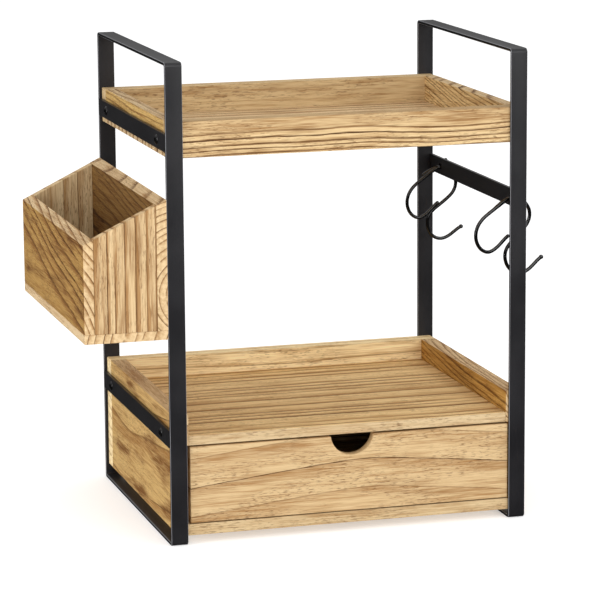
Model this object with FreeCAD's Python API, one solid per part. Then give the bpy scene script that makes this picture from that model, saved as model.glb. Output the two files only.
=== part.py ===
import FreeCAD
import Part
import math
import os

os.makedirs("parts", exist_ok=True)
V = FreeCAD.Vector

# ---------------------------------------------------------------- driving dimensions, millimetres
# X runs across the stand, Y from front (-) to back (+), Z up from the floor. Everything is laid
# out from the middle of the two side frames; the last section moves the origin to the middle of
# the whole stand, box and hooks included.
WIDTH = 502.0            # outside to outside of the side frames
DEPTH = 400.0            # front to back of the side frames
HEIGHT = 650.0           # floor to the top rail

BAR_W = 23.5             # flat bar of the frame loops, width across the stand
BAR_T = 4.5              # thickness of every flat bar
LOOP_R = 6.0             # outside radius of the four bends of a loop
CROSS_H = 24.0           # height of the flat bars welded between the uprights
TRAY_BAR_Z = HEIGHT - 106.5     # centre heights of those bars
HANG_BAR_Z = HEIGHT - 210.0
SHELF_BAR_Z = 146.0

BOLT_Y = DEPTH / 2 - 50.0       # bolts and slots this far in front of and behind the middle
SLOT_L = 13.0            # slot in the hanging bars
SLOT_H = 9.0
BOLT_D = 6.0
BOLT_HEAD_D = 13.5
BOLT_HEAD_H = 3.3
BOLT_KEY = 4.0           # across the flats of the hexagon socket
BOLT_LEN = 14.5          # under the head
BOLT_PLAY = 0.15         # radial play of the bolt in bar and board

TRAY_Z0 = TRAY_BAR_Z - 20.5     # lower edge of the tray boards
TRAY_Z1 = TRAY_Z0 + 48.0        # upper edge of the tray rim
TRAY_SIDE_T = 17.0
END_BOARD_T = 25.0       # front and back boards, and the back of the drawer case
TRAY_FLOOR_Z = TRAY_Z0 + 11.0   # upper face of the tray floor, on which the side boards stand

CASE_SIDE_T = 18.0
CASE_SIDE_Z0 = 20.0      # lower edge of the side panels
CASE_RIM_Z = 179.0       # upper edge of the three raised edges of the shelf
CASE_RIM_T = 22.0        # the side panels are this thick beside and above the shelf
SHELF_Z = 149.5          # upper face of the shelf
SHELF_T = 13.5
CASE_FLOOR_Z0 = 12.0     # under face of the case floor
CASE_FLOOR_T = 15.5      # the drawer runs on the case floor

DRAWER_PLAY_X = 3.5      # between the drawer and each side panel
DRAWER_ASIDE = 2.2       # the drawer stands this far to the right of the middle
DRAWER_PLAY_Z0 = 1.5     # between the case floor and the drawer front
DRAWER_PLAY_Z1 = 2.5     # between the drawer front and the shelf
DRAWER_PLAY_Y = 16.0     # between the closed drawer and the case back, filled by the stops
DRAWER_FRONT_T = 15.0
DRAWER_SIDE_T = 10.0
DRAWER_SIDE_DROP = 20.5  # the sides end this far below the shelf
DRAWER_PLY_T = 4.0
DRAWER_PLY_UP = 7.5      # under face of the drawer bottom above the case floor
GROOVE = 5.0             # depth of the groove that holds the drawer bottom
GROOVE_PLAY = 0.2
NOTCH_R = 30.5           # finger notch in the top edge of the drawer front
NOTCH_DEPTH = 27.0
NOTCH_ASIDE = 1.8        # and the notch this far to the right of the middle of the front
STOP_W = 40.0
STOP_H = 14.0
STOP_IN = 30.0           # from the side panel to the stop

BOX_W = 113.0            # box on the outside of the left frame, as long as the frame is deep
BOX_Z0 = HANG_BAR_Z - 157.0
BOX_LOW = BOX_Z0 + 132.0        # upper edge of the box on its outer side
BOX_HIGH = HANG_BAR_Z + 30.0    # upper edge of the box against the frame
BOX_T = 14.0             # walls
BOX_FLOOR_T = 12.5

WIRE_D = 5.0             # wire of the hooks
KNOB_R = 3.1             # round knob on the outer end of an S-hook
HOOK_GAP = 2.8           # each hook stands this far to one side of the middle of its slot
HOOK_CLEAR = 0.6         # between the tail of an inner hook and the bar
S_HOOK_SWING = {"rear": 0.0, "front": 8.0}   # how far each S-hook hangs from the plumb line, degrees

BOLT_HOLE_D = BOLT_D + 2 * BOLT_PLAY
BOLT_REACH = BOLT_LEN - BAR_T + 0.5      # depth of the bolt's hole in the wood
X_OUT = WIDTH / 2
X_WOOD = X_OUT - BAR_T   # outer faces of the wooden parts
Y_WOOD = DEPTH / 2 - BAR_T
X_CASE = X_WOOD - CASE_SIDE_T
X_RIM = X_WOOD - CASE_RIM_T
Y_BACK = Y_WOOD - END_BOARD_T   # front faces of the tray's back board and of the case back
CASE_FLOOR_Z = CASE_FLOOR_Z0 + CASE_FLOOR_T


# ---------------------------------------------------------------- small helpers
def block(x0, y0, z0, x1, y1, z1):
    """A rectangular block given by two opposite corners in any order."""
    low = V(min(x0, x1), min(y0, y1), min(z0, z1))
    return Part.makeBox(abs(x1 - x0), abs(y1 - y0), abs(z1 - z0), low)


nodes = {}


def save(name, shape):
    """Keep one finished node; several equal solids stay together as one group."""
    nodes[name] = shape.removeSplitter() if len(shape.Solids) == 1 else shape


def ring_wire(half_y, z0, z1, radius, x):
    """Closed rectangle in the YZ plane at x with rounded corners."""
    flat = Part.makeBox(1.0, 2 * half_y, z1 - z0, V(x, -half_y, z0))
    edges = [e for e in flat.Edges if abs(e.tangentAt(e.FirstParameter).x) > 0.9]
    rounded = flat.makeFillet(radius, edges)
    for face in rounded.Faces:
        if abs(face.normalAt(0, 0).x) > 0.9 and abs(face.CenterOfMass.x - x) < 1e-6:
            return face.OuterWire


def bolt_places(z):
    return [V(0, y, z) for y in (-BOLT_Y, BOLT_Y)]


def bolt(seat_x, reach_in, y, z):
    """Button-head bolt with its head seated at seat_x; reach_in is +1 when the shank runs to +X."""
    axis = V(reach_in, 0, 0)
    seat = V(seat_x, y, z)
    shank = Part.makeCylinder(BOLT_D / 2, BOLT_LEN, seat, axis)
    dome_r = ((BOLT_HEAD_D / 2) ** 2 + BOLT_HEAD_H ** 2) / (2 * BOLT_HEAD_H)
    ball = Part.makeSphere(dome_r, seat - axis * (BOLT_HEAD_H - dome_r))
    head = ball.common(Part.makeCylinder(BOLT_HEAD_D / 2, BOLT_HEAD_H, seat, axis * -1))
    ring = [V(0, math.cos(math.radians(a)), math.sin(math.radians(a))) for a in range(0, 361, 60)]
    corner = BOLT_KEY / math.sqrt(3)
    outline = Part.makePolygon([seat - axis * (BOLT_HEAD_H + 1) + r * corner for r in ring])
    key = Part.Face(outline).extrude(axis * 3.0)
    return shank.fuse(head).removeSplitter().cut(key)


def bolt_hole(shape, z, x_from, x_to, diameter):
    """Bore the pair of bolt holes through or into a bar or a board."""
    for place in bolt_places(z):
        start = V(min(x_from, x_to), place.y, z)
        shape = shape.cut(Part.makeCylinder(diameter / 2, abs(x_to - x_from), start, V(1, 0, 0)))
    return shape


def slot(x0, x1, y, z):
    """Obround cutter along X, longer front to back."""
    reach = (SLOT_L - SLOT_H) / 2
    body = block(x0, y - reach, z - SLOT_H / 2, x1, y + reach, z + SLOT_H / 2)
    for dy in (-reach, reach):
        body = body.fuse(Part.makeCylinder(SLOT_H / 2, x1 - x0, V(x0, y + dy, z), V(1, 0, 0)))
    return body


# ---------------------------------------------------------------- side frames
# Each frame is one closed loop of flat bar standing on its lower run, with three flat bars welded
# on edge between the uprights, their outer faces level with the edges of the loop.
SIDES = {"left": -1.0, "right": 1.0}

for side, sign in SIDES.items():
    x_low = -X_OUT if sign < 0 else X_OUT - BAR_W
    outer = Part.Face(ring_wire(DEPTH / 2, 0.0, HEIGHT, LOOP_R, x_low))
    inner = Part.Face(ring_wire(DEPTH / 2 - BAR_T, BAR_T, HEIGHT - BAR_T, LOOP_R - BAR_T, x_low))
    save(side + "_frame_loop", outer.cut(inner).extrude(V(BAR_W, 0, 0)))

    for name, z in (("tray_bar", TRAY_BAR_Z), ("shelf_bar", SHELF_BAR_Z)):
        bar = block(sign * X_OUT, -Y_WOOD, z - CROSS_H / 2, sign * X_WOOD, Y_WOOD, z + CROSS_H / 2)
        bar = bolt_hole(bar, z, -X_OUT - 1, X_OUT + 1, BOLT_HOLE_D)
        save(side + "_" + name, bar)
        bolts = [bolt(sign * X_OUT, -sign, place.y, z) for place in bolt_places(z)]
        save(side + "_" + name + "_bolts", Part.makeCompound(bolts))

    bar = block(sign * X_OUT, -Y_WOOD, HANG_BAR_Z - CROSS_H / 2,
                sign * X_WOOD, Y_WOOD, HANG_BAR_Z + CROSS_H / 2)
    for y in (-BOLT_Y, BOLT_Y):
        bar = bar.cut(slot(min(sign * X_OUT, sign * X_WOOD) - 1,
                           max(sign * X_OUT, sign * X_WOOD) + 1, y, HANG_BAR_Z))
    save("left_box_bar" if sign < 0 else "right_hook_bar", bar)


# ---------------------------------------------------------------- upper tray
# Front and back boards run the full width. The floor lies between them out to both sides, and the
# side boards stand on it.
save("tray_floor", block(-X_WOOD, -Y_BACK, TRAY_Z0, X_WOOD, Y_BACK, TRAY_FLOOR_Z))
for name, sign in (("tray_front_board", -1.0), ("tray_back_board", 1.0)):
    save(name, block(-X_WOOD, sign * Y_WOOD, TRAY_Z0, X_WOOD, sign * Y_BACK, TRAY_Z1))
for side, sign in SIDES.items():
    board = block(sign * X_WOOD, -Y_BACK, TRAY_FLOOR_Z, sign * (X_WOOD - TRAY_SIDE_T), Y_BACK, TRAY_Z1)
    save("tray_" + side + "_board", bolt_hole(board, TRAY_BAR_Z, sign * X_WOOD,
                                              sign * (X_WOOD - BOLT_REACH), BOLT_HOLE_D))


# ---------------------------------------------------------------- shelf and drawer case
# The side panels and the back rise above the shelf as its raised edges; the front stays open.
save("case_back", block(-X_WOOD, Y_WOOD, CASE_SIDE_Z0, X_WOOD, Y_BACK, CASE_RIM_Z))
for side, sign in SIDES.items():
    panel = block(sign * X_WOOD, -Y_WOOD, CASE_SIDE_Z0, sign * X_CASE, Y_BACK, SHELF_Z - SHELF_T)
    panel = panel.fuse(block(sign * X_WOOD, -Y_WOOD, SHELF_Z - SHELF_T,
                             sign * X_RIM, Y_BACK, CASE_RIM_Z))
    save("case_" + side + "_panel", bolt_hole(panel, SHELF_BAR_Z, sign * X_WOOD,
                                              sign * (X_WOOD - BOLT_REACH), BOLT_HOLE_D))
save("shelf_board", block(-X_RIM, -Y_WOOD, SHELF_Z - SHELF_T, X_RIM, Y_BACK, SHELF_Z))
save("case_floor", block(-X_CASE, -Y_WOOD, CASE_FLOOR_Z0, X_CASE, Y_BACK, CASE_FLOOR_Z))
DRAWER_END_Y = Y_BACK - DRAWER_PLAY_Y
stops = [block(sign * (X_CASE - STOP_IN), DRAWER_END_Y, CASE_FLOOR_Z,
               sign * (X_CASE - STOP_IN - STOP_W), Y_BACK, CASE_FLOOR_Z + STOP_H)
         for sign in SIDES.values()]
save("drawer_stops", Part.makeCompound(stops))


# ---------------------------------------------------------------- drawer
# Its front closes the case level with the panels; a half-round notch in the top edge is the pull.
# It is laid out from its own middle, and save_drawer moves each piece aside.
def save_drawer(name, shape):
    save(name, shape.translated(V(DRAWER_ASIDE, 0, 0)))


DRAWER_X = X_CASE - DRAWER_PLAY_X
INSIDE_X = DRAWER_X - DRAWER_SIDE_T
BEHIND_Y = -Y_WOOD + DRAWER_FRONT_T
FRONT_Z1 = SHELF_Z - SHELF_T - DRAWER_PLAY_Z1
SIDE_Z1 = SHELF_Z - SHELF_T - DRAWER_SIDE_DROP
PLY_Z0 = CASE_FLOOR_Z + DRAWER_PLY_UP
PLY_Z1 = PLY_Z0 + DRAWER_PLY_T
groove_end = GROOVE + GROOVE_PLAY
groove_x = INSIDE_X + groove_end
groove = block(-groove_x, BEHIND_Y - groove_end, PLY_Z0, groove_x, DRAWER_END_Y + 1, PLY_Z1)

front = block(-DRAWER_X, -Y_WOOD, CASE_FLOOR_Z + DRAWER_PLAY_Z0, DRAWER_X, BEHIND_Y, FRONT_Z1)
notch_centre = V(NOTCH_ASIDE, -Y_WOOD - 1, FRONT_Z1 + NOTCH_R - NOTCH_DEPTH)
notch = Part.makeCylinder(NOTCH_R, DRAWER_FRONT_T + 2, notch_centre, V(0, 1, 0))
save_drawer("drawer_front", front.cut(notch).cut(groove))
for side, sign in SIDES.items():
    board = block(sign * DRAWER_X, BEHIND_Y, CASE_FLOOR_Z, sign * INSIDE_X, DRAWER_END_Y, SIDE_Z1)
    save_drawer("drawer_" + side + "_side", board.cut(groove))
save_drawer("drawer_back", block(-INSIDE_X, DRAWER_END_Y - DRAWER_SIDE_T, PLY_Z1,
                                 INSIDE_X, DRAWER_END_Y, SIDE_Z1))
save_drawer("drawer_bottom", block(-INSIDE_X - GROOVE, BEHIND_Y - GROOVE, PLY_Z0,
                                   INSIDE_X + GROOVE, DRAWER_END_Y, PLY_Z1))


# ---------------------------------------------------------------- box on the left frame
# Four walls stand on a bottom board; every upper edge follows one slope, low on the outside and
# high against the frame. Two bolts through the slots of the box bar hold its inner wall.
BOX_X0 = -X_OUT - BOX_W
BOX_X1 = -X_OUT
BOX_Y0 = -DEPTH / 2
BOX_Y1 = DEPTH / 2
BOX_FLOOR = BOX_Z0 + BOX_FLOOR_T
OVER = 1.0                               # cutters reach this far past what they cut
step = OVER * (BOX_HIGH - BOX_LOW) / BOX_W
rim = Part.makePolygon([V(BOX_X0 - OVER, BOX_Y0 - OVER, BOX_LOW - step),
                        V(BOX_X1 + OVER, BOX_Y0 - OVER, BOX_HIGH + step),
                        V(BOX_X1 + OVER, BOX_Y0 - OVER, BOX_HIGH + BOX_W),
                        V(BOX_X0 - OVER, BOX_Y0 - OVER, BOX_HIGH + BOX_W),
                        V(BOX_X0 - OVER, BOX_Y0 - OVER, BOX_LOW - step)])
above_rim = Part.Face(rim).extrude(V(0, DEPTH + 2 * OVER, 0))
save("box_bottom", block(BOX_X0, BOX_Y0, BOX_Z0, BOX_X1, BOX_Y1, BOX_FLOOR))
outer_wall = block(BOX_X0, BOX_Y0, BOX_FLOOR, BOX_X0 + BOX_T, BOX_Y1, BOX_HIGH)
save("box_outer_wall", outer_wall.cut(above_rim))
inner_wall = block(BOX_X1 - BOX_T, BOX_Y0, BOX_FLOOR, BOX_X1, BOX_Y1, BOX_HIGH)
save("box_inner_wall", bolt_hole(inner_wall.cut(above_rim), HANG_BAR_Z, BOX_X1,
                                 BOX_X1 - BOLT_REACH, BOLT_HOLE_D))
for name, start, end in (("box_front_wall", BOX_Y0, BOX_Y0 + BOX_T),
                         ("box_back_wall", BOX_Y1 - BOX_T, BOX_Y1)):
    wall = block(BOX_X0 + BOX_T, start, BOX_FLOOR, BOX_X1 - BOX_T, end, BOX_HIGH)
    save(name, wall.cut(above_rim))
save("box_bolts", Part.makeCompound([bolt(-X_WOOD, -1.0, place.y, HANG_BAR_Z)
                                     for place in bolt_places(HANG_BAR_Z)]))


# ---------------------------------------------------------------- hooks on the right frame
# Every slot of the hook bar carries two wire hooks side by side: an inner one with its tail turned
# up behind the bar, and an S-hook that reaches through from the outside.
X_HOLE = X_OUT - BAR_T / 2
# Points along the wire: outwards from the bar's outer face, up from the middle of its slots.
INNER_HOOK = [(-9.6, -53.2), (-22.3, -65.2), (-30.0, -71.2), (-38.2, -74.0), (-46.6, -71.0),
              (-53.0, -63.6), (-56.0, -54.0), (-55.6, -44.6), (-52.2, -35.6), (-45.8, -27.4),
              (-37.2, -20.4), (-26.4, -12.8), (-15.4, -5.2), (-7.6, -1.5), (-1.7, -0.7)]
TAIL = [(0.2, 7.0), (0.0, 14.2)]         # inwards from the tail's line, up from the slot's edge
S_HOOK = [(28.9, -91.4), (18.5, -98.0), (8.6, -104.6), (-2.6, -107.6), (-12.8, -104.4),
          (-20.2, -96.2), (-23.2, -84.6), (-21.0, -73.2), (-13.6, -64.0), (-4.5, -57.1),
          (5.4, -49.6), (14.4, -41.4), (19.6, -31.8), (20.0, -21.0), (15.8, -11.6), (7.8, -3.9),
          (-2.4, -0.9), (-15.2, -3.9), (-29.2, -12.0)]


def wire_hook(points, y, knob):
    """Round wire along a smooth line through the points: a knob of that radius, and a round end."""
    centre = Part.BSplineCurve()
    centre.interpolate([V(X_OUT + out, y, HANG_BAR_Z + up) for out, up in points])
    spine = Part.Wire([centre.toShape()])
    edge = spine.Edges[0]
    first, last = edge.FirstParameter, edge.LastParameter
    ring = Part.Wire(Part.makeCircle(WIRE_D / 2, edge.valueAt(first), edge.tangentAt(first)))
    body = spine.makePipeShell([ring], True, False, 2)
    for at, radius in ((first, knob), (last, WIRE_D / 2)):
        body = body.fuse(Part.makeSphere(radius, edge.valueAt(at)))
    return body


for place, y in (("rear", BOLT_Y), ("front", -BOLT_Y)):
    points = INNER_HOOK + [(WIRE_D / 2 + HOOK_CLEAR - dx, dz - SLOT_H / 2) for dx, dz in TAIL]
    save("inner_hook_" + place, wire_hook(points, y - HOOK_GAP, WIRE_D / 2))

    body = wire_hook(S_HOOK, y + HOOK_GAP, KNOB_R)
    body.rotate(V(X_HOLE, y, HANG_BAR_Z), V(0, -1, 0), S_HOOK_SWING[place])
    save("s_hook_" + place, body)


# ---------------------------------------------------------------- origin and output
# The finished stand is moved across so that the origin lies under the middle of its whole width.
spans = [shape.optimalBoundingBox() for shape in nodes.values()]
middle = (min(span.XMin for span in spans) + max(span.XMax for span in spans)) / 2
for name, shape in nodes.items():
    shape.translate(V(-round(middle, 1), 0, 0))
    shape.exportStep("parts/" + name + ".step")
print("origin shift", -round(middle, 1))
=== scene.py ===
import math
import bmesh
import bpy
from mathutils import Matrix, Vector


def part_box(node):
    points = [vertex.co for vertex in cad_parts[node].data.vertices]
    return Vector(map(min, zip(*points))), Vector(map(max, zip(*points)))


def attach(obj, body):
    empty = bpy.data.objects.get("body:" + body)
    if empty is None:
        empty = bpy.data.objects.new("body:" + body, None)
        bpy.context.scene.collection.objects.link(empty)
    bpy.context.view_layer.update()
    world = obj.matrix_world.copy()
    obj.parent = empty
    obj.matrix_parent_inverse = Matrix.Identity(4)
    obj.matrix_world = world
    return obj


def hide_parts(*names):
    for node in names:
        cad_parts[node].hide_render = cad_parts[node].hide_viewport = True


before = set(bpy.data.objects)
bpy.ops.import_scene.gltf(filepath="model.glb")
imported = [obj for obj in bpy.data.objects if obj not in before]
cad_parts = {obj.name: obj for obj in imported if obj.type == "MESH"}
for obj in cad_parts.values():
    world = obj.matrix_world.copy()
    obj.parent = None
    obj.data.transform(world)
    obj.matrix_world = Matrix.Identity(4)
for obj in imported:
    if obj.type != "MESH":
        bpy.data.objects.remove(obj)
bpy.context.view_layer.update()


# ---------------------------------------------------------------------- side frames
# Two closed loops of flat steel bar, bent at the four corners and standing on their lower runs.
# The bar's edges are rolled slightly round, and the whole frame is powder coated satin black.
class Signal:
    """A socket in a node tree: arithmetic adds Math nodes, and new() adds any other node."""

    def __init__(self, tree, socket=None):
        self.tree = tree
        self.socket = socket

    def new(self, kind, settings=None, output=0, **sockets):
        """Adds a node, settings first; a socket is named by its label or by in_NUMBER."""
        node = self.tree.nodes.new(kind)
        for key, value in (settings or {}).items():
            setattr(node, key, value)
        for key, value in sockets.items():
            numbered = key.startswith("in_")
            socket = node.inputs[int(key[3:]) if numbered else key.replace("_", " ")]
            if isinstance(value, Signal):
                self.tree.links.new(value.socket, socket)
            else:
                socket.default_value = value
        return Signal(self.tree, node.outputs[output] if node.outputs else None)

    def out(self, name):
        """Another output of the same node."""
        return Signal(self.tree, self.socket.node.outputs[name])

    def also(self, name, other):
        """Links one more signal to a socket of the same node that takes several."""
        self.tree.links.new(other.socket, self.socket.node.inputs[name])

    def maths(self, operation, first, second=0.0):
        return self.new("ShaderNodeMath", {"operation": operation}, in_0=first, in_1=second)

    def __add__(self, other):
        return self.maths("ADD", self, other)

    def __sub__(self, other):
        return self.maths("SUBTRACT", self, other)

    def __rsub__(self, other):
        return self.maths("SUBTRACT", other, self)

    def __mul__(self, other):
        return self.maths("MULTIPLY", self, other)

    def __truediv__(self, other):
        return self.maths("DIVIDE", self, other)

    def __pow__(self, other):
        return self.maths("POWER", self, other)

    def vector(self, operation, other):
        """Vector Math with another vector, or with a triple of numbers."""
        place = "Value" if operation == "DOT_PRODUCT" else "Vector"
        return self.new("ShaderNodeVectorMath", {"operation": operation}, place,
                        in_0=self, in_1=other)

    def rise(self, start, end):
        """0 before start, 1 after end, and smooth between them."""
        return self.new("ShaderNodeMapRange", {"interpolation_type": "SMOOTHSTEP"},
                        Value=self, From_Min=start, From_Max=end)

    def tint(self, first, second):
        """The colour that runs from first to second as this signal runs from 0 to 1."""
        return self.new("ShaderNodeMix", {"data_type": "RGBA"}, 2,
                        in_0=self, in_6=first, in_7=second)


def colour(red, green, blue):
    """Linear colour from the 0 to 255 values of a paint sample."""
    parts = [value / 255 for value in (red, green, blue)]
    return [p / 12.92 if p <= 0.04045 else ((p + 0.055) / 1.055) ** 2.4 for p in parts] + [1.0]


def new_material(name):
    """An empty material, with its shader and a first signal to build from."""
    material = bpy.data.materials.new(name)
    material.use_nodes = True
    tree = material.node_tree
    tree.nodes.clear()
    return material, Signal(tree)


def powder_coat(name, shade, roughness, grain, index=1.45, arris_highlight=None, side=None):
    """Fine-textured satin coat: orange peel in the bump, a little dust and rubbing in the colour.

    On the bent frames a painted highlight lightens the arrises and painted shade darkens the narrow
    sides.
    """
    material, start = new_material(name)
    place = start.new("ShaderNodeTexCoord", output="Object")
    peel = start.new("ShaderNodeTexNoise", Vector=place, Scale=grain, Detail=2.0)
    patches = start.new("ShaderNodeTexNoise", Vector=place, Scale=14.0, Detail=3.0)
    height = start.new("ShaderNodeBump", Strength=0.12, Distance=0.0004, Height=peel)
    tone = (patches + (peel - 0.5) * 0.5).rise(0.3, 0.75)
    paint = tone.tint(colour(*shade[0]), colour(*shade[1]))
    if arris_highlight:
        facing = start.new("ShaderNodeTexCoord", output="Normal").vector("DOT_PRODUCT", (1, 0, 0))
        square = facing * facing
        # Painted shade darkens the narrow sides, whose normals run along X, and a painted highlight
        # lightens the rounded arrises next to them.
        paint = square.rise(0.75, 0.95).tint(paint, colour(*side))
        paint = (square * (1 - square) * 4).rise(0.35, 0.9).tint(paint, colour(*arris_highlight))
    shader = start.new("ShaderNodeBsdfPrincipled", IOR=index, Normal=height, Base_Color=paint,
                       Roughness=(patches - 0.5) * 0.16 + roughness)
    start.new("ShaderNodeOutputMaterial", Surface=shader)
    return material


def new_tree(name, inputs):
    """A geometry tree with named inputs; returns the tree and its inputs as signals."""
    tree = bpy.data.node_groups.new(name, "GeometryNodeTree")
    tree.interface.new_socket("Geometry", in_out="OUTPUT", socket_type="NodeSocketGeometry")
    for label, kind in inputs.items():
        tree.interface.new_socket(label, in_out="INPUT", socket_type="NodeSocket" + kind)
    source = tree.nodes.new("NodeGroupInput")
    signals = {label: Signal(tree, source.outputs[label]) for label in inputs}
    return tree, Signal(tree), signals


def set_down(name, data):
    """A new object with this data, put in the scene."""
    thing = bpy.data.objects.new(name, data)
    bpy.context.collection.objects.link(thing)
    return thing


def grow(tree, name, **values):
    """Runs a geometry tree with these values and returns its mesh as a plain object."""
    seed = set_down(name + "_seed", bpy.data.meshes.new(name + "_seed"))
    modifier = seed.modifiers.new("nodes", "NODES")
    modifier.node_group = tree
    for socket in tree.interface.items_tree:
        if socket.in_out == "INPUT" and socket.name.replace(" ", "_") in values:
            modifier[socket.identifier] = values[socket.name.replace(" ", "_")]
    bpy.context.view_layer.update()
    grown = seed.evaluated_get(bpy.context.evaluated_depsgraph_get())
    mesh = bpy.data.meshes.new_from_object(grown)
    bpy.data.objects.remove(seed)
    mesh.name = name
    return set_down(name, mesh)


def fit(piece, body, slot, *nodes):
    """The finished piece rides on its body and stands for the nodes, which it hides; the slot is
    not used.
    """
    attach(piece, body)
    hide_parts(*nodes)
    return piece


BAR_EDGE = 0.0011
LOOP_BEND = 0.006
BEND_STEPS = 10
EDGE_STEPS = 3
FLAT_FACE = 0.9999
CREASE = math.radians(50)
frame_coat = powder_coat("satin_black_powder_coat", ((25, 24, 27), (34, 33, 36)), 0.34, 1400.0)
# The loops' coat has a painted highlight along the arrises and painted shade on the narrow sides.
loop_coat = powder_coat("satin_black_loop_coat", ((25, 24, 27), (34, 33, 36)), 0.34, 1400.0,
                        arris_highlight=(132, 132, 137), side=(5, 5, 6))

loop_tree, nodes, given = new_tree("bent_flat_bar", {
    "Centre": "Vector", "Depth": "Float", "Height": "Float", "Bar Width": "Float",
    "Bar Thickness": "Float", "Bend Radius": "Float", "Edge Radius": "Float", "Coat": "Material"})
run = nodes.new("GeometryNodeCurvePrimitiveQuadrilateral", {"mode": "RECTANGLE"},
                Width=given["Depth"] - given["Bar Thickness"],
                Height=given["Height"] - given["Bar Thickness"])
run = nodes.new("GeometryNodeFilletCurve", {"mode": "POLY"}, Curve=run, Count=BEND_STEPS,
                Radius=given["Bend Radius"] - given["Bar Thickness"] * 0.5)
section = nodes.new("GeometryNodeCurvePrimitiveQuadrilateral", {"mode": "RECTANGLE"},
                    Width=given["Bar Thickness"], Height=given["Bar Width"])
section = nodes.new("GeometryNodeFilletCurve", {"mode": "POLY"}, Curve=section, Count=EDGE_STEPS,
                    Radius=given["Edge Radius"])
loop = nodes.new("GeometryNodeCurveToMesh", Curve=run, Profile_Curve=section)
loop = nodes.new("GeometryNodeTransform", Geometry=loop, Rotation=(math.pi / 2, 0, math.pi / 2),
                 Translation=given["Centre"])
loop = nodes.new("GeometryNodeRealizeInstances", Geometry=loop)
loop = nodes.new("GeometryNodeSetMaterial", Geometry=loop, Material=given["Coat"])
nodes.new("NodeGroupOutput", Geometry=loop)

for side in ("left", "right"):
    low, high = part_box(side + "_frame_loop")
    bar_low, bar_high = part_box(side + "_tray_bar")
    piece = grow(loop_tree, side + "_frame", Centre=(low + high) / 2, Depth=high.y - low.y,
                 Height=high.z - low.z, Bar_Width=high.x - low.x,
                 Bar_Thickness=bar_high.x - bar_low.x, Bend_Radius=LOOP_BEND,
                 Edge_Radius=BAR_EDGE, Coat=loop_coat)
    for face in piece.data.polygons:
        face.use_smooth = max(map(abs, face.normal)) < FLAT_FACE
    piece.data.set_sharp_from_angle(angle=CREASE)
    fit(piece, "base", "black_steel", side + "_frame_loop")


# ---------------------------------------------------------------------- bars across the frames
# Flat bar on edge, welded between the uprights of each frame. The boards bolt to the upper and
# lower ones; the middle ones have two slots, for the hooks on the right and the box on the left.
WELD = 1e-6
SAME_PLANE = math.radians(0.5)
OUTER_CORNER = math.radians(40)
EASE_STEPS = 2


def welded(node):
    """The node's shape, ready to work on, with its doubled corners joined."""
    form = bmesh.new()
    form.from_mesh(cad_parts[node].data)
    bmesh.ops.remove_doubles(form, verts=form.verts, dist=WELD)
    return form


def coated(form, name, material):
    """The worked form as an object with its finish on."""
    mesh = bpy.data.meshes.new(name)
    form.to_mesh(mesh)
    form.free()
    mesh.materials.append(material)
    return set_down(name, mesh)


def eased(node, name, ease, body, slot, material):
    """A piece with the node's shape whose outer edges are eased to a small radius."""
    form = welded(node)
    bmesh.ops.dissolve_limit(form, angle_limit=SAME_PLANE, verts=form.verts, edges=form.edges)
    sharp = [edge for edge in form.edges
             if edge.is_manifold and edge.calc_face_angle_signed() > OUTER_CORNER]
    made = bmesh.ops.bevel(form, geom=sharp, offset=ease, segments=EASE_STEPS, profile=0.5,
                           affect="EDGES", clamp_overlap=True)
    for face in made["faces"]:
        face.smooth = True
    return fit(coated(form, name, material), body, slot, node)


for node in ("left_tray_bar", "right_tray_bar", "left_shelf_bar", "right_shelf_bar",
             "left_box_bar", "right_hook_bar"):
    eased(node, node + "_flat", BAR_EDGE, "base", "black_steel", frame_coat)


# ---------------------------------------------------------------------- bolts
# Button-head steel bolts with a hexagon socket, blackened. Their domed heads sit on the bars, and
# their shanks run through the bars into the boards.
BOLT_SEGMENTS = 32
SOCKET_SIDES = 6
SOCKET_ACROSS = 0.004
SOCKET_DEEP = 0.002
bolt_black = powder_coat("blackened_bolt_steel", ((3, 3, 3), (9, 9, 9)), 0.20, 2600.0)

bolt_tree, nodes, given = new_tree("row_of_bolts", {
    "First": "Vector", "Second": "Vector", "Turn": "Float", "Head Radius": "Float",
    "Head Height": "Float", "Shank Radius": "Float", "Shank Length": "Float", "Steel": "Material"})
ends = nodes.new("GeometryNodeMeshLine", {"mode": "END_POINTS", "count_mode": "TOTAL"}, Count=2,
                 Start_Location=given["First"], Offset=given["Second"])
dome_radius = ((given["Head Radius"] ** 2.0 + given["Head Height"] ** 2.0)
               / (given["Head Height"] * 2.0))
ball = nodes.new("GeometryNodeMeshUVSphere", Segments=BOLT_SEGMENTS * 2, Rings=BOLT_SEGMENTS * 2,
                 Radius=dome_radius)
sunk = nodes.new("ShaderNodeCombineXYZ", Z=given["Head Height"] - dome_radius)
ball = nodes.new("GeometryNodeTransform", Geometry=ball, Translation=sunk)
slab = nodes.new("GeometryNodeMeshCylinder", Vertices=BOLT_SEGMENTS, Radius=given["Head Radius"],
                 Depth=given["Head Height"] * 2.0)
slab = nodes.new("GeometryNodeTransform", Geometry=slab, Translation=nodes.new(
    "ShaderNodeCombineXYZ", Z=given["Head Height"]))
head = nodes.new("GeometryNodeMeshBoolean", {"operation": "INTERSECT", "solver": "EXACT"},
                 Mesh_2=ball)
head.also("Mesh 2", slab)
key = nodes.new("GeometryNodeMeshCylinder", Vertices=SOCKET_SIDES,
                Radius=SOCKET_ACROSS / math.sqrt(3),
                Depth=SOCKET_DEEP * 2)
key = nodes.new("GeometryNodeTransform", Geometry=key, Translation=nodes.new(
    "ShaderNodeCombineXYZ", Z=given["Head Height"]))
head = nodes.new("GeometryNodeMeshBoolean", {"operation": "DIFFERENCE", "solver": "EXACT"},
                 Mesh_1=head, Mesh_2=key)
shank = nodes.new("GeometryNodeMeshCylinder", Vertices=BOLT_SEGMENTS, Radius=given["Shank Radius"],
                  Depth=given["Shank Length"])
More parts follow.
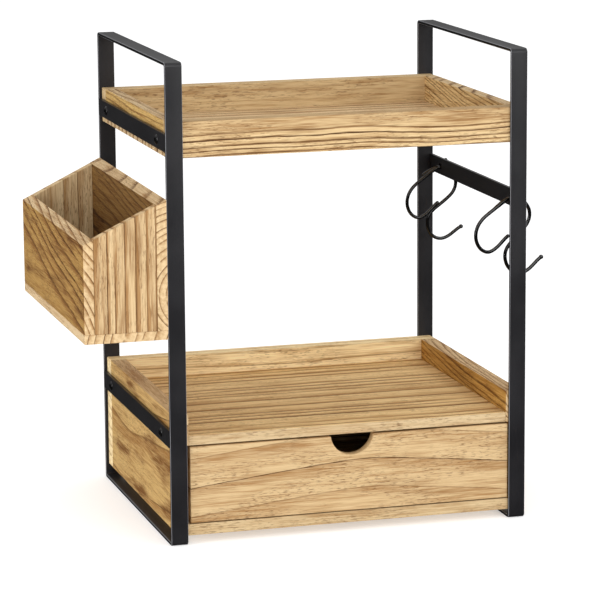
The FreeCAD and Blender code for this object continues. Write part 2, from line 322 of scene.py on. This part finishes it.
shank = nodes.new("GeometryNodeTransform", Geometry=shank, Translation=nodes.new(
    "ShaderNodeCombineXYZ", Z=given["Shank Length"] * -0.5))
bolt = nodes.new("GeometryNodeJoinGeometry", Geometry=head)
bolt.also("Geometry", shank)
turned = nodes.new("ShaderNodeCombineXYZ", Y=given["Turn"])
row = nodes.new("GeometryNodeInstanceOnPoints", Points=ends, Instance=bolt, Rotation=turned)
row = nodes.new("GeometryNodeRealizeInstances", Geometry=row)
row = nodes.new("GeometryNodeSetMaterial", Geometry=row, Material=given["Steel"])
nodes.new("NodeGroupOutput", Geometry=row)

HEAD_RADIUS = 0.00675
HEAD_HEIGHT = 0.0033
SHANK_RADIUS = 0.003
for node, bar, outwards in (("left_tray_bar_bolts", "left_tray_bar", -1.0),
                            ("right_tray_bar_bolts", "right_tray_bar", 1.0),
                            ("left_shelf_bar_bolts", "left_shelf_bar", -1.0),
                            ("right_shelf_bar_bolts", "right_shelf_bar", 1.0),
                            ("box_bolts", "left_box_bar", 1.0)):
    low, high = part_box(node)
    bar_low, bar_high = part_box(bar)
    seat = bar_low.x if outwards < 0 else bar_high.x
    height = (low.z + high.z) / 2
    piece = grow(bolt_tree, node.replace("_bar", "") + "_black",
                 First=(seat, low.y + HEAD_RADIUS, height),
                 Second=(seat, high.y - HEAD_RADIUS, height),
                 Turn=outwards * math.pi / 2, Head_Radius=HEAD_RADIUS, Head_Height=HEAD_HEIGHT,
                 Shank_Radius=SHANK_RADIUS, Shank_Length=high.x - low.x - HEAD_HEIGHT,
                 Steel=bolt_black)
    fit(piece, "base", "black_bolt", node)


# ---------------------------------------------------------------------- tray
# Boards of light, fast-grown softwood, scorched and brushed so that the hard rings stand proud and
# dark. The front and back boards run the full width, with the side boards between them.
BOARD_EDGE = 0.0009
PALE = colour(222, 194, 150)
STRAW = colour(170, 129, 82)
TOAST = colour(136, 94, 50)
CHAR = colour(66, 38, 16)
FLECK = colour(104, 66, 32)
PLAIN = (1.0, 1.0, 1.0, 1.0)
X, Y, Z = Vector((1, 0, 0)), Vector((0, 1, 0)), Vector((0, 0, 1))
SEED_STEP = 7.31         # from one board's noise to the next one's
BEND_SOFTNESS = 0.0009   # square of the length over which the heart line turns
RIPPLE_DEPTH = 0.0018
FIBRE_DEPTH = 0.0006
LINE_EDGE = 0.0004       # where the late wood stops against the next year


def scorched_wood(name, node, along, across, heart, ring, seed, lean=(0.0, 0.0), bend_at=0.0,
                  phase=0.0, burn=0.9, wander=0.01, uneven=1.2, flecks=0.6, cloudy=0.5,
                  quiet=(1.0, 2.0), banding=0.45, late=0.0022, tone=PLAIN, face=PLAIN):
    """Wood cut from a log: rings around a heart line that runs along the grain.

    heart is the heart's place across and through the board from its middle, and ring the width of
    one year. lean is the heart's slope before and after bend_at. The rings fade out across quiet
    into scorched wood, and banding darkens each year towards its late wood, which is late wide.
    tone tints the whole board, and face only its two broad faces.
    """
    low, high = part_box(node)
    through = along.cross(across)
    material, start = new_material(name)
    place = start.new("ShaderNodeTexCoord", output="Object").vector("SUBTRACT", (low + high) / 2)
    u = place.vector("DOT_PRODUCT", along)
    v = place.vector("DOT_PRODUCT", across)
    w = place.vector("DOT_PRODUCT", through)

    def noise(length, width, detail, offset, output="Fac"):
        """Noise whose features are that long along the grain and that wide across it."""
        spot = start.new("ShaderNodeCombineXYZ", X=u / length + (seed * SEED_STEP + offset),
                         Y=v / width, Z=w / width)
        return start.new("ShaderNodeTexNoise", output=output, Vector=spot, Scale=1.0, Detail=detail)

    drift = start.new("ShaderNodeSeparateColor", Color=noise(0.30, 0.4, 1.0, 0.0, "Color"))
    ripple = noise(0.05, 0.02, 2.0, 3.0) - 0.5
    past = u - bend_at
    rounding = (past * past + BEND_SOFTNESS) ** 0.5
    heart_v = (past - rounding) * (lean[0] / 2) + (past + rounding) * (lean[1] / 2)
    dv = v - heart_v - (drift - 0.5) * (wander * 2) - heart[0]
    dw = w - (drift.out("Green") - 0.5) * (wander * 2) - heart[1]
    facing = start.new("ShaderNodeNewGeometry", output="True Normal")
    broad = start.maths("ABSOLUTE", facing.vector("DOT_PRODUCT", through)).rise(0.6, 0.9)
    end_on = start.maths("ABSOLUTE", facing.vector("DOT_PRODUCT", along)).rise(0.5, 0.9)
    along_grain = 1 - end_on * 0.8
    fibre = (noise(0.035, 0.0012, 2.0, 5.0).rise(0.28, 0.72) - 0.5) * along_grain + 0.5
    radius = (dv * dv + dw * dw) ** 0.5 + ripple * RIPPLE_DEPTH + (fibre - 0.5) * FIBRE_DEPTH
    growth = start.new("ShaderNodeTexNoise", {"noise_dimensions": "1D"},
                       W=radius / (ring * 2.7) + seed, Scale=1.0, Detail=1.0)
    years = radius / ring + growth * uneven + phase
    year = start.maths("FLOOR", years)
    left_over = (year + 1.0 - years) * ring
    vigour = start.new("ShaderNodeTexWhiteNoise", {"noise_dimensions": "1D"}, W=year + seed)
    vigour = vigour * 0.7 + 0.3
    calm = v.rise(*quiet)
    present = (1 - calm) * noise(0.20, 0.012, 1.0, 21.0).rise(0.22, 0.42)
    line = left_over.rise(0.0, LINE_EDGE) * (1 - left_over.rise(late * 0.35, late)) * present
    shade = (1 - left_over.rise(0.0, ring * 0.55)) * present
    streak = noise(0.10, 0.005, 2.0, 11.0).rise(0.30, 0.70)
    dash = noise(0.009, 0.0011, 2.0, 9.0).rise(0.55, 0.65)
    dash = dash * noise(0.10, 0.03, 2.0, 13.0).rise(0.34, 0.58) * along_grain
    smudge = noise(0.11, 0.022, 3.0, 17.0).rise(0.48, 0.78) * (broad * 0.7 + 0.3)

    ground = (fibre * 0.45 + streak * 0.35 + shade * banding - 0.1).rise(0.0, 1.0).tint(PALE, STRAW)
    toasted = ((smudge * cloudy + calm * 0.5) * (fibre * 0.6 + 0.4)).tint(ground, TOAST)
    burnt = (line * vigour * (fibre * 0.5 + 0.7) * burn).tint(toasted, CHAR)
    dark = (dash * flecks).tint(burnt, FLECK)
    toned = dark.vector("MULTIPLY", broad.tint(PLAIN, face)).vector("MULTIPLY", tone[:3])
    relief = line * vigour * 0.7 + fibre * 0.5 - dash * 0.4
    bump = start.new("ShaderNodeBump", Strength=0.4, Distance=0.0006, Height=relief)
    shader = start.new("ShaderNodeBsdfPrincipled", Base_Color=toned, Normal=bump, IOR=1.3,
                       Roughness=(fibre - 0.5) * 0.15 + 0.68)
    start.new("ShaderNodeOutputMaterial", Surface=shader)
    return material


def board(node, body, along, across, slot="light_wood", **grain):
    """One eased board with its own cut of the wood."""
    wood = scorched_wood(node + "_wood", node, along, across, **grain)
    return eased(node, node + "_plank", BOARD_EDGE, body, slot, wood)


board("tray_front_board", "base", X, Z, heart=(0.022, -0.006), ring=0.0058, seed=1, burn=1.0,
      late=0.0026, cloudy=0.8, quiet=(0.003, 0.013), banding=0.6, tone=(0.98, 0.97, 0.91))
board("tray_back_board", "base", X, Z, heart=(-0.01, 0.06), ring=0.009, seed=2, burn=0.15,
      banding=0.1, cloudy=0.5, tone=(0.93, 0.93, 0.88))
# Its face tint yellows and darkens the broad faces, partly as the wood's own colour and partly as
# painted shade on the outer face, which is turned away from the lights.
board("tray_left_board", "base", Y, Z, heart=(-0.03, 0.03), ring=0.007, seed=3, burn=0.6,
      cloudy=1.2, face=(0.9, 0.8, 0.47, 1.0))
board("tray_right_board", "base", Y, Z, heart=(0.14, 0.02), ring=0.006, seed=4, lean=(0.09, 0.16),
      burn=1.0, wander=0.004, face=(1.13, 1.11, 0.95, 1.0))
board("tray_floor", "base", X, Y, heart=(0.4, 0.03), ring=0.022, seed=5, burn=1.0, late=0.005,
      banding=0.7, cloudy=0.7)


# ---------------------------------------------------------------------- shelf and drawer case
# The shelf board lies between the side panels and the back, which stand up round it as its rim.
# The panels hang from the lower bars of the frames, and the case floor closes the case below.
# Its face tint yellows and darkens the broad faces, partly as the wood's own colour and partly as
# painted shade on the outer face, which is turned away from the lights.
board("case_left_panel", "base", Y, Z, heart=(-0.30, -0.09), ring=0.052, seed=6, burn=0.8,
      lean=(-0.10, 0.13), bend_at=0.075, late=0.0035, uneven=1.8, cloudy=1.8, wander=0.02,
      phase=0.4, face=(0.9, 0.8, 0.52, 1.0))
board("case_right_panel", "base", Y, Z, heart=(0.10, 0.03), ring=0.006, seed=7, lean=(0.06, 0.12),
      burn=0.6, banding=0.6, wander=0.004, face=(0.86, 0.67, 0.30, 1.0))
# Painted light: the tone brightens and cools the whole board, for its inner face, which stands in
# shade under the tray.
board("case_back", "base", X, Z, heart=(0.09, 0.03), ring=0.014, seed=8, burn=0.45,
      banding=0.3, tone=(1.46, 1.62, 1.68))
# The tone darkens the whole board and the face tint lifts the broad faces again: painted light on
# the top, which lies in shade under the tray, and painted shade on the front edge.
board("shelf_board", "base", X, Y, heart=(0.45, -0.10), ring=0.026, seed=9, burn=1.0, late=0.005,
      phase=0.4, uneven=2.2, banding=0.8, wander=0.006, tone=(0.87, 0.89, 0.905),
      face=(1.352, 1.298, 1.094, 1.0))
board("case_floor", "base", X, Y, heart=(0.2, 0.05), ring=0.009, seed=10, burn=0.4,
      tone=(0.873, 0.89, 0.885))
board("drawer_stops", "base", X, Z, heart=(0.02, 0.03), ring=0.006, seed=11, burn=0.4)


# ---------------------------------------------------------------------- drawer
# A plain box drawer: the front has a half-round notch for the fingers, and the thin bottom slides
# into a groove all round.
board("drawer_front", "drawer", X, Z, heart=(-0.30, 0.0), ring=0.042, seed=12, burn=1.0, phase=0.22,
      lean=(0.108, -0.109), bend_at=0.025, wander=0.002, uneven=0.2, cloudy=0.4, banding=0.35,
      flecks=0.65, tone=(0.893, 0.872, 0.825))
board("drawer_left_side", "drawer", Y, Z, heart=(0.03, 0.05), ring=0.008, seed=13, burn=0.4)
board("drawer_right_side", "drawer", Y, Z, heart=(0.04, 0.05), ring=0.008, seed=14, burn=0.4)
board("drawer_back", "drawer", X, Z, heart=(0.03, 0.05), ring=0.008, seed=15, burn=0.4)
board("drawer_bottom", "drawer", X, Y, "thin_board", heart=(0.1, 0.3), ring=0.012, seed=16,
      burn=0.25)


# ---------------------------------------------------------------------- box on the left frame
# Four walls on a bottom board, with every upper edge on one slope. It is open at the top and is
# bolted to its bar through the inner wall.
board("box_bottom", "base", Y, X, heart=(0.3, 0.09), ring=0.013, seed=17, burn=1.0, wander=0.003)
# Its face tint yellows and darkens the broad faces, partly as the wood's own colour and partly as
# painted shade on the outer face, which is turned away from the lights.
board("box_outer_wall", "base", Y, Z, heart=(-0.085, -0.19), ring=0.0085, seed=18,
      lean=(0.16, 0.24), burn=1.0, late=0.0018, banding=0.7, cloudy=1.4, wander=0.004,
      face=(0.63, 0.49, 0.23, 1.0))
# Painted shade: the face tint makes the broad faces dark brown, for the inside of the box, which
# lies in shade.
board("box_inner_wall", "base", Y, Z, heart=(-0.02, 0.045), ring=0.009, seed=19, lean=(0.12, 0.12),
      burn=0.8, face=(0.39, 0.28, 0.135, 1.0))
board("box_front_wall", "base", Z, X, heart=(0.14, 0.03), ring=0.014, seed=20, burn=1.0, cloudy=1.1,
      banding=0.9, wander=0.004, tone=(0.95, 0.94, 0.92))
board("box_back_wall", "base", Z, X, heart=(0.10, 0.05), ring=0.022, seed=21, burn=0.6,
      tone=(0.93, 0.95, 0.96))


# ---------------------------------------------------------------------- hooks
# Bent round wire, lacquered glossy black, with rounded ends. An inner hook and an S-shaped hook
# share each slot of the right-hand bar.
hook_coat = powder_coat("black_wire_lacquer", ((3, 3, 3), (7, 7, 8)), 0.13, 1800.0, index=1.65)
for node in ("inner_hook_rear", "inner_hook_front", "s_hook_rear", "s_hook_front"):
    form = welded(node)
    for face in form.faces:
        face.smooth = True
    fit(coated(form, node + "_wire", hook_coat), node, "hook_wire", node)


# ---------------------------------------------------------------------- studio
# A wide pale floor that glows a little, a sky that is bright overhead and dark near the ground, so
# that the black bars stay black, three soft lights aimed at the stand's middle, and the camera.
FLOOR_HALF = 30.0
FLOOR_GLOW = 0.42
SKY = 1.25
HORIZON = 0.06
SKY_FROM = 0.7
mesh = bpy.data.meshes.new("floor")
mesh.from_pydata([(-FLOOR_HALF, -FLOOR_HALF, 0), (FLOOR_HALF, -FLOOR_HALF, 0),
                  (FLOOR_HALF, FLOOR_HALF, 0), (-FLOOR_HALF, FLOOR_HALF, 0)], [], [(0, 1, 2, 3)])
floor = set_down("floor", mesh)
floor.visible_glossy = False
material, start = new_material("pale_floor")
start.new("ShaderNodeOutputMaterial", Surface=start.new(
    "ShaderNodeBsdfPrincipled", Base_Color=(0.8, 0.8, 0.8, 1.0), Roughness=0.9, IOR=1.2,
    Emission_Color=(1.0, 1.0, 1.0, 1.0), Emission_Strength=FLOOR_GLOW))
mesh.materials.append(material)

world = bpy.data.worlds.new("studio")
world.use_nodes = True
world.node_tree.nodes.clear()
start = Signal(world.node_tree)
direction = start.new("ShaderNodeTexCoord", output="Generated")
skyward = start.new("ShaderNodeSeparateXYZ", output="Z", Vector=direction)
glow = skyward.rise(0.0, SKY_FROM) * (SKY - HORIZON) + HORIZON
start.new("ShaderNodeOutputWorld", Surface=start.new("ShaderNodeBackground", Strength=glow))
bpy.context.scene.world = world
bpy.context.scene.view_settings.view_transform = "Standard"

AIM = Vector((0.0, 0.0, 0.33))
for name, place, width, height, power in (("key", (-0.6, -4.2, 1.9), 2.4, 2.4, 48.0),
                                          ("fill", (1.6, -3.4, 1.4), 2.0, 2.0, 30.0),
                                          ("edge_strip", (-3.1, -1.1, 0.7), 0.25, 2.0, 30.0)):
    light = bpy.data.lights.new(name, "AREA")
    light.shape = "RECTANGLE"
    light.size = width
    light.size_y = height
    light.energy = power
    lamp = set_down(name, light)
    lamp.location = place
    lamp.rotation_euler = (AIM - Vector(place)).to_track_quat("-Z", "Y").to_euler()

SENSOR_MM = 36.0
LENS_MM = 185.180
CAMERA_PLACE = (-1.16245, -4.07894, 1.11712)
CAMERA_TURN = (78.909, 0.407, -16.279)
lens = bpy.data.cameras.new("camera")
lens.sensor_width = SENSOR_MM
lens.lens = LENS_MM
camera = set_down("camera", lens)
camera.location = CAMERA_PLACE
camera.rotation_euler = [math.radians(angle) for angle in CAMERA_TURN]
bpy.context.scene.camera = camera
